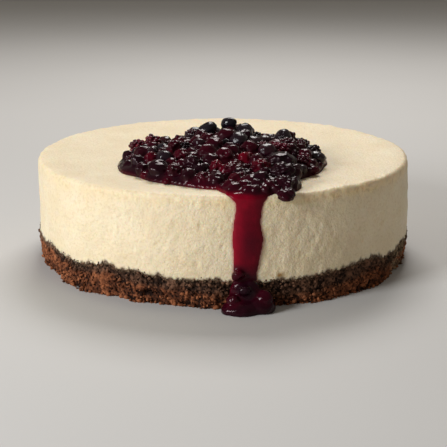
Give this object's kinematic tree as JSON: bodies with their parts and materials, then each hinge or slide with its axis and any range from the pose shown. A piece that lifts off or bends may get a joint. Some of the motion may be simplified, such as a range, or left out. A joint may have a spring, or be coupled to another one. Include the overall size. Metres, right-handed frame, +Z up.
{
  "type": "baked cheesecake",
  "caption": "Round baked cheesecake on a cocoa crumb base, with a heap of berry compote on top whose sauce runs over the rim, down the side and out at the foot.",
  "frame": {"origin": "centre of the round underside of the crumb base, on the surface that the cake stands on", "axes": "+Z up along the cake's axis; the sauce runs down the -Y side; +X to the right seen from that side"},
  "size_m": [0.2332, 0.2456, 0.0889],
  "materials": {
    "crumb": "coarse dry cocoa crumb",
    "filling": "smooth cream with fine pores and a faint sheen",
    "sauce": "wet, glossy, translucent crimson",
    "berries": "wet, glossy, nearly black to crimson"
  },
  "bodies": {
    "root": {"crumb_base": "crumb", "cheese_filling": "filling", "sauce": "sauce", "berry_heap": "berries", "foot_berry_1": "berries", "foot_berry_2": "berries", "foot_berry_3": "berries", "foot_berry_4": "berries"}
  },
  "joints": []
}
